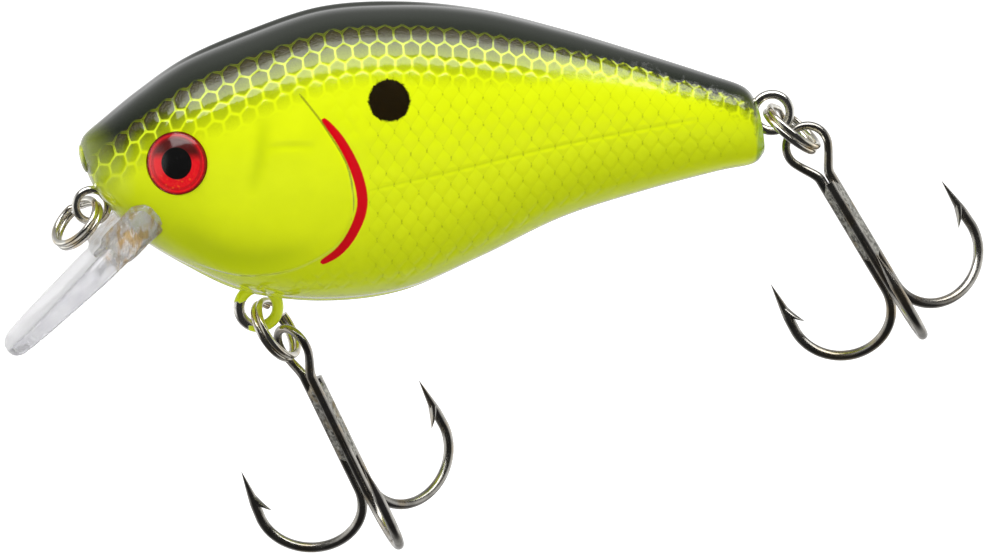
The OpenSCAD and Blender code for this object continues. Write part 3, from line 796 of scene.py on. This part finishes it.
def build_eye(word, side):
    pupil_r = 1.4
    rings = [(0, -0.9), (EYE_R, -0.9), (EYE_R, -0.02)]
    rings += [(r, -0.02 - 0.08 * (1 - abs(2 * (r - pupil_r) / (EYE_R - pupil_r) - 1)))
              for r in np.linspace(EYE_R - 0.05, pupil_r, 26)]
    rings += [(pupil_r, -0.5), (0, -0.5)]
    points, faces = revolve(rings)
    iris = place("iris_" + word, eye_frame(points, side), faces, materials["red_foil"])
    attribute = iris.data.attributes.new("radius", "FLOAT", "POINT")
    attribute.data.foreach_set("value", np.hypot(points[:, 0], points[:, 1]).astype(np.float32))
    stands_for(iris, "root", "red_foil", "eye_iris_" + word)

    rings = [(0, -0.4), (pupil_r - 0.02, -0.4), (pupil_r - 0.02, -0.06)]
    rings += [(r, 0.05 - 0.11 * (r / pupil_r) ** 2) for r in np.linspace(pupil_r - 0.06, 0.1, 12)]
    rings += [(0, 0.05)]
    points, faces = revolve(rings)
    pupil = place("pupil_" + word, eye_frame(points, side), faces, materials["pupil_black"])
    stands_for(pupil, "root", "pupil_black", "eye_pupil_" + word)

    tall = 1.0
    dome_r = (EYE_R ** 2 + tall ** 2) / (2 * tall)
    rim = EYE_R - 0.02
    start = math.asin(rim / dome_r)
    rings = [(0, 0.08), (rim, 0.08), (rim, 0.10)]
    rings += [(dome_r * math.sin(a), tall - dome_r + dome_r * math.cos(a) + 0.005)
              for a in np.linspace(start * 0.985, 0.02, 28)]
    rings += [(0, tall)]
    points, faces = revolve(rings)
    lens = place("lens_" + word, eye_frame(points, side), faces, materials["clear_lens"])
    stands_for(lens, "root", "clear_lens", "eye_lens_" + word)


# ---- Diving lip ----

LIP_TIP = np.array([-7.35, 0, -12.6])
LIP_ANGLE = 46
LIP_LEN = 13.4


def lip_frame(points):
    """From the lip's own frame, tip at the origin and root along +X, to its place."""
    return np.asarray(points) @ rotation("Y", -LIP_ANGLE).T + LIP_TIP


def lip_half_width(x):
    """Half the blade's width at x from its tip: round corners, even sides, a shoulder at the root."""
    tip = 3.25 + 3.25 * np.sqrt(np.clip(1 - (1 - np.clip(x / 5.0, 0, 1)) ** 2.2, 0, 1))
    tip = np.minimum(tip, 6.5)
    nose = np.clip(x / 0.9, 0, 1)
    tip = tip - 2.4 * (1 - np.sqrt(1 - (1 - nose) ** 2))
    shoulder = smoothstep(x, LIP_LEN - 3.6, LIP_LEN + 0.4)
    return tip * (1 - shoulder) + 5.0 * shoulder


def build_lip():
    rows = np.r_[0.0, 0.06, 0.16, 0.32, 0.55, np.linspace(0.9, 17.2, 60)]
    around = np.linspace(0, 2 * math.pi, 64, endpoint=False)
    rings = []
    for x in rows:
        wide = float(lip_half_width(np.array(x)))
        edge = min(1.0, 0.25 + 0.75 * math.sqrt(min(1.0, x / 0.8)))
        top = 0.6 * edge
        low = (-0.6 - 1.2 * x / LIP_LEN) * edge
        mid, half = (top + low) / 2, (top - low) / 2
        c, s = np.cos(around), np.sin(around)
        y = wide * np.sign(c) * np.abs(c) ** 0.16
        z = mid + half * np.sign(s) * np.abs(s) ** 0.28
        # Stiffening rib under the middle of the blade
        rib = -0.5 * smoothstep(np.array(x), 1.5, 6.0) * np.exp(-(y / 0.9) ** 2) * (s < 0)
        rings.append(np.stack([np.full_like(y, x), y, z + rib], 1))
    points, faces = join_meshes([tube(rings), lip_collar()])
    lip = place("lip_clear", lip_frame(points), faces, materials["clear_lip"], 50)
    stands_for(lip, "root", "clear_lip", "diving_lip")


def lip_collar():
    """Rounded root that wraps the chin, with flow ridges on it."""
    lat = np.linspace(-math.pi / 2, math.pi / 2, 42)[1:-1]
    lon = np.linspace(0, 2 * math.pi, 80, endpoint=False)
    power = 0.42
    rings = []
    for t in lat:
        y = 5.55 * np.sign(math.sin(t)) * abs(math.sin(t)) ** power
        size = math.cos(t) ** power
        c, s = np.cos(lon), np.sin(lon)
        x = 3.7 * size * np.sign(c) * np.abs(c) ** power
        z = 1.7 * size * np.sign(s) * np.abs(s) ** power
        swell = 1 + 0.07 * np.sin(3 * lon + 4.0 * t) + 0.05 * np.sin(7 * lon - 2 * t) + 0.04 * np.sin(9 * t)
        rings.append(np.stack([15.1 + x * swell, np.full_like(x, y), -0.3 + z * swell], 1))
    return tube(rings)


# ---- Wires: split rings and treble hooks ----

def wire_ring(centre, across, along, half_across, half_along, sides, square=1.0):
    turn = np.linspace(0, 2 * math.pi, sides, endpoint=False)
    c, s = np.cos(turn), np.sin(turn)
    c, s = np.sign(c) * np.abs(c) ** square, np.sign(s) * np.abs(s) ** square
    return centre + np.outer(c * half_across, across) + np.outer(s * half_along, along)


RING_ACROSS = 0.29
RING_ALONG = 0.265
COIL_GAP = 0.03
COIL_STEP = 15


def coil_height(a):
    t = min(1.0, max(0.0, (a - 360 + COIL_STEP) / (2 * COIL_STEP)))
    return (2 * RING_ALONG + COIL_GAP) * (t * t * (3 - 2 * t) - 0.5)


def build_ring(name, body, node, centre, lean, opened, outer_d):
    """Two coils of spring wire that step from one to the other, both ends cut square."""
    r = outer_d / 2 - RING_ACROSS
    rings = []
    for a in np.arange(COIL_STEP + 1, 720 - COIL_STEP, 3.0):
        c, s = math.cos(math.radians(a)), math.sin(math.radians(a))
        rings.append(wire_ring(np.array([r * c, r * s, coil_height(a)]), np.array([c, s, 0]),
                               np.array([0, 0, 1.0]), RING_ACROSS, RING_ALONG, 20, 0.8))
    points, faces = tube(rings)
    turn = rotation("Y", -90 - lean) @ rotation("X", -opened) @ rotation("Z", 65)
    piece = place(name, points @ turn.T + np.array(centre), faces, materials["nickel_ring"], 60)
    stands_for(piece, body, "nickel_ring", node)


WIRE_R = 0.45
EYE_WIRE_R = 0.375
HOOK_EYE_R = 1.85
HOOK_GAP = 9.87
SHANK_H = 14.3
BEND_DEPTH = 4.18
POINT_H = 9.0
MERGE_H = 2.9
BRAZE_H = 8.8
SHANK_OFFSET = WIRE_R / math.sin(math.radians(60)) + 0.04
POINT_LEAN = 0.3
SIDES = 22


def hook_curve():
    """A hook in its radial plane from the shank to the point: radius, height, direction, thickness."""
    low = -SHANK_H
    curve = []
    for z in np.linspace(-MERGE_H - 0.7, -MERGE_H - BRAZE_H, 14):
        curve.append((SHANK_OFFSET, z, 0, -1, WIRE_R))
    for a in np.linspace(180, 360, 49):
        c, s = math.cos(math.radians(a)), math.sin(math.radians(a))
        way = np.array([-HOOK_GAP / 2 * s, BEND_DEPTH * c])
        way /= np.linalg.norm(way)
        curve.append((SHANK_OFFSET + HOOK_GAP / 2 * (1 + c), low + BEND_DEPTH * s, way[0], way[1], WIRE_R))
    length = POINT_H - BEND_DEPTH
    way = np.array([-POINT_LEAN, length])
    way /= np.linalg.norm(way)
    for s in np.r_[np.linspace(0.06, 0.94, 20), 0.97, 0.99, 1.0]:
        thick = 1 if s < 0.3 else 0.015 + 0.985 * (1 - ((s - 0.3) / 0.7) ** 1.15)
        curve.append((SHANK_OFFSET + HOOK_GAP - POINT_LEAN * s, low + length * s, way[0], way[1],
                      WIRE_R * thick))
    return curve


def hook_out(phi, flip=False):
    """Rings of the hook at azimuth phi, from its shank to its point, or back if flip."""
    e = np.array([math.cos(math.radians(phi)), math.sin(math.radians(phi)), 0])
    b = np.array([e[1], -e[0], 0])
    up = np.array([0, 0, 1.0])
    rings = []
    for radius, z, dx, dz, thick in hook_curve():
        way = e * dx + up * dz
        rings.append(wire_ring(e * radius + up * z, np.cross(way, b), b, thick, thick, SIDES))
    return rings[::-1] if flip else rings


def barb(phi):
    """Sliver cut up from the inside of the point, its tip towards the bend."""
    e = np.array([math.cos(math.radians(phi)), math.sin(math.radians(phi)), 0])
    b = np.array([e[1], -e[0], 0])
    up = np.array([0, 0, 1.0])
    length = POINT_H - BEND_DEPTH
    root_r, root_z = SHANK_OFFSET + HOOK_GAP - 0.18, -SHANK_H + length * 0.44
    tip_r, tip_z = SHANK_OFFSET + HOOK_GAP - 1.30, -SHANK_H + length * 0.10
    rings = []
    for t in np.linspace(0, 1, 9):
        bow = 0.10 * math.sin(math.pi * t)
        centre = e * (root_r + (tip_r - root_r) * t + bow) + up * (root_z + (tip_z - root_z) * t)
        wide = 0.40 * (1 - t ** 2.2) + 0.01
        thin = 0.32 * (1 - t) + 0.008
        way = e * (tip_r - root_r) + up * (tip_z - root_z)
        way /= np.linalg.norm(way)
        rings.append(wire_ring(centre, np.cross(way, b), b, thin, wide, 14, 0.8))
    return tube(rings)


def hook_eye_path():
    """The eye's wire on the +Y side from the shank up to the top: y, z, direction, thickness."""
    join = math.radians(-27)
    neck_top = HOOK_EYE_R * np.array([math.cos(join), math.sin(join)])
    neck_low = np.array([SHANK_OFFSET * math.sin(math.radians(60)), -MERGE_H - 0.2])
    below_top = neck_top + np.array([math.sin(join), -math.cos(join)]) * 1.3
    p = [neck_low, neck_low + [0.05, 0.55], below_top, neck_top]
    path = []
    for t in np.linspace(0, 0.95, 16):
        q = ((1 - t) ** 3 * p[0] + 3 * t * (1 - t) ** 2 * p[1] + 3 * t * t * (1 - t) * p[2] + t ** 3 * p[3])
        d = (1 - t) ** 2 * (p[1] - p[0]) + 2 * t * (1 - t) * (p[2] - p[1]) + t * t * (p[3] - p[2])
        path.append((q, d / np.linalg.norm(d), WIRE_R + (EYE_WIRE_R - WIRE_R) * t))
    for a in np.linspace(join, math.pi / 2, 26):
        path.append((HOOK_EYE_R * np.array([math.cos(a), math.sin(a)]),
                     np.array([-math.sin(a), math.cos(a)]), EYE_WIRE_R))
    return path


def eye_rings(side):
    rings = []
    for q, d, thick in hook_eye_path():
        way = np.array([0, side * d[0], d[1]]) * side
        b = np.array([-1.0, 0, 0])
        centre = np.array([SHANK_OFFSET * 0.5, side * q[0], q[1]])
        rings.append(wire_ring(centre, np.cross(way, b), b, thick, thick, SIDES))
    return rings


def braze_fill():
    """Rough metal that fills the grooves between the three shanks."""
    turn = np.linspace(0, 2 * math.pi, 60, endpoint=False)
    rings = []
    lumps = rng.normal(0, 1, (40, 60))
    for k in range(2):
        lumps = (lumps + np.roll(lumps, 1, 0) + np.roll(lumps, -1, 0) + np.roll(lumps, 1, 1)
                 + np.roll(lumps, -1, 1)) / 5
    for i, z in enumerate(np.linspace(-MERGE_H - 0.8, -MERGE_H - BRAZE_H, 40)):
        end = min(i, 39 - i)
        fade = min(1.0, 0.55 + end * 0.15)
        groove = np.abs((turn + math.pi / 3) % (2 * math.pi / 3) - math.pi / 3)
        r = (np.minimum(0.73 / np.cos(groove), 0.84) + 0.07 * lumps[i]) * fade
        rings.append(np.stack([r * np.cos(turn), r * np.sin(turn), np.full_like(turn, z)], 1))
    return tube(rings)


def build_treble(word, centre, swing, recede, spin):
    """A treble hook: a double hook of one wire with the eye, a single hook and the braze metal."""
    turn = rotation("Y", -swing) @ rotation("X", recede) @ rotation("Z", spin)
    rings = hook_out(60, flip=True)
    inward = [ring[::-1] for ring in rings]
    eye_up = eye_rings(1)
    eye_down = eye_rings(-1)[::-1]
    outward = hook_out(-60)
    path = aligned(inward + eye_up + eye_down + outward)
    double = join_meshes([tube(path), barb(60), barb(-60)])
    single = join_meshes([tube(hook_out(180)), barb(180)])
    for name, (points, faces), slot in (("double", double, "black_nickel"), ("single", single, "black_nickel"),
                                        ("braze", braze_fill(), "braze")):
        piece = place(f"{word}_treble_{name}", points @ turn.T + np.array(centre), faces, materials[slot], 50)
        stands_for(piece, word + "_treble", slot, f"{word}_hook_{name}")


def aligned(rings):
    """Turns each ring's order of points so that it starts next to the one before and runs its way."""
    out = [np.asarray(rings[0])]
    for ring in rings[1:]:
        ring = np.asarray(ring)
        before = out[-1] - out[-1].mean(0)
        best = None
        for way in (ring, ring[::-1]):
            shape = way - way.mean(0)
            for k in range(len(ring)):
                gap = np.sum((np.roll(shape, -k, 0) - before) ** 2)
                if best is None or gap < best[0]:
                    best = (gap, np.roll(way, -k, 0))
        out.append(best[1])
    return out


def ring_centre(eye, seat, lean, outer_d):
    lean = math.radians(lean)
    reach = outer_d / 2 - RING_ACROSS
    return (eye[0] + seat[0] + math.sin(lean) * reach, 0, eye[1] + seat[1] - math.cos(lean) * reach)


# ---- The object ----

for word, side in (("left", -1), ("right", 1)):
    half = body_half("body_half_" + word, side)
    points, faces = revolve([(0, -EYE_SINK), (EYE_R + 0.05, -EYE_SINK), (EYE_R + 0.05, 3), (0, 3)])
    cutter = place("cutter", eye_frame(points, side), faces, materials["painted_body"])
    cut(half, cutter)
    store_fields(half)
    stands_for(half, "root", "painted_body", "shell_" + word)
    build_eye(word, side)
build_lip()
# Split rings: the eye each hangs in, where its wire rests in it, its lean, how far it opens, its size
for word, eye, seat, lean, opened, outer_d in (
        ("line", (0, 0), (0.30, 0.24), -42, -22, 5.3),
        ("belly", (14.5, -9), (0, 0.28), 34, 25, 6.0),
        ("tail", (59.5, 7.6), (-0.34, 0.2), 52, 12, 5.9)):
    build_ring("ring_" + word, word + "_ring", word + "_split_ring",
               ring_centre(eye, seat, lean, outer_d), lean, opened, outer_d)
build_treble("belly", (17.75, 0.25, -12.4), 26, 9, 212)
build_treble("tail", (62.65, 0.05, 4.55), 31, 0.5, 88)

for node, slot in (("line_tie_eye", "nickel_wire"), ("belly_hanger", "painted_wire"),
                   ("tail_hanger", "nickel_wire"), ("ballast_slug", "ballast_steel"),
                   ("rattle_ball_front", "ball_steel"),
                   ("rattle_ball_middle", "ball_steel"), ("rattle_ball_rear", "ball_steel")):
    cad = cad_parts[node]
    cad.data.materials.clear()
    cad.data.materials.append(materials[slot])


# ---- Stage, light and camera ----

def lamp(name, place_m, aim_m, size, power, colour=(1, 1, 1)):
    data = bpy.data.lights.new(name, "AREA")
    data.shape = "RECTANGLE"
    data.size, data.size_y = size
    data.energy = power
    data.color = colour
    piece = bpy.data.objects.new(name, data)
    bpy.context.scene.collection.objects.link(piece)
    piece.location = place_m
    piece.rotation_euler = (Vector(aim_m) - Vector(place_m)).to_track_quat("-Z", "Y").to_euler()
    return piece


def build_stage():
    """A pale floor that glows from a quarter of a metre out, so it stays plain white behind the lure."""
    points, faces = revolve([(0, 0), (400, 0), (1500, 0), (5000, 0), (5000, -20), (0, -20)], 64)
    paint = Paint("pale_floor", roughness=0.9, base_color=(0.62, 0.62, 0.62, 1), emission_color=(1, 1, 1, 1))
    x, y, _ = paint.axes()
    radius = (x * x + y * y).math("SQRT")
    paint.set("Emission Strength", radius.step(250, 430) * 0.97 + 0.03)
    floor = place("floor", points, faces, paint.material)
    floor.location.z = -0.075
    floor.visible_glossy = False


def build_world():
    """Studio that is dark in front, where the camera stands, and bright behind and above."""
    world = bpy.data.worlds.new("studio")
    bpy.context.scene.world = world
    world.use_nodes = True
    tree = world.node_tree
    coordinates = tree.nodes.new("ShaderNodeTexCoord")
    split = tree.nodes.new("ShaderNodeSeparateXYZ")
    tree.links.new(coordinates.outputs["Generated"], split.inputs[0])
    x, y, z = (Value(tree, split.outputs[i]) for i in range(3))
    behind = y.step(-0.10, 0.55) * (z.step(0.75, 0.15) * 0.60 + 0.27) * (z.step(-0.55, -0.05) * 0.55 + 0.45)
    light = behind + x.abs().step(0.78, 0.97) * 0.75 + z.step(0.55, 0.95) * 0.15 + 0.03
    tree.links.new(light.socket, tree.nodes["Background"].inputs["Strength"])
    tree.nodes["Background"].inputs["Color"].default_value = (1, 1, 1, 1)


middle = Vector((0.035, 0, 0.003))
build_stage()
build_world()
lamp("top_softbox", (0.04, -0.22, 0.46), middle, (0.94, 0.34), 4.0)
lamp("front_fill", (-0.25, -1.10, 0.20), middle, (0.80, 0.80), 2.65).visible_glossy = False
lamp("side_fill", (1.0, -0.80, 0.30), middle, (0.50, 0.50), 0.9).visible_glossy = False

# Viewing angle: 6 degrees towards the nose from side on, 5.5 degrees from above
AIM = Vector((0.03542, 0, -0.00658))
VIEW = Vector((0.1040, 0.9899, -0.0958)).normalized()
DISTANCE = 1.0
FIELD = 0.08676
SENSOR = 36
camera_data = bpy.data.cameras.new("camera")
camera_data.sensor_width = SENSOR
camera_data.lens = SENSOR * DISTANCE / FIELD
camera_data.clip_end = 50
camera = bpy.data.objects.new("camera", camera_data)
bpy.context.scene.collection.objects.link(camera)
camera.location = AIM - VIEW * DISTANCE
camera.rotation_euler = VIEW.to_track_quat("-Z", "Y").to_euler()
bpy.context.scene.camera = camera
bpy.context.scene.view_settings.view_transform = "Standard"
